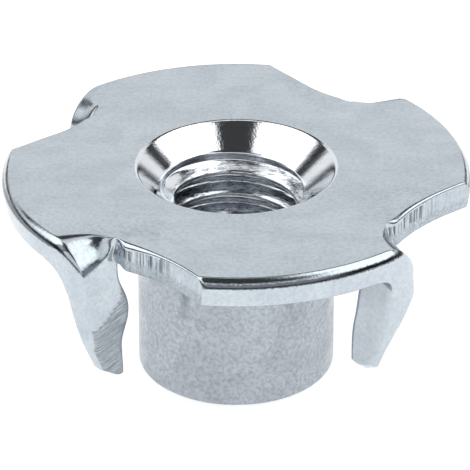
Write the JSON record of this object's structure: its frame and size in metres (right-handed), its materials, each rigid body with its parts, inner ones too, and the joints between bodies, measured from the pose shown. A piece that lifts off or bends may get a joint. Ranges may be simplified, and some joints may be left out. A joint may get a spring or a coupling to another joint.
{
  "type": "tee nut",
  "caption": "Round flanged sheet-steel insert nut with a threaded barrel and prongs folded down from the flange to bite into wood.",
  "frame": {"origin": "on the bore's axis, at the free end of the barrel", "axes": "+Z along the bore from the barrel's free end to the flange; -Y is the side of a lobe between two prongs"},
  "size_m": [0.019, 0.019, 0.009],
  "materials": {
    "zinc_steel": "zinc-plated deep-drawn sheet steel, satin on the flats and bright where the tools rolled or cut it"
  },
  "bodies": {
    "root": {"tee_nut": "zinc_steel"}
  },
  "joints": []
}
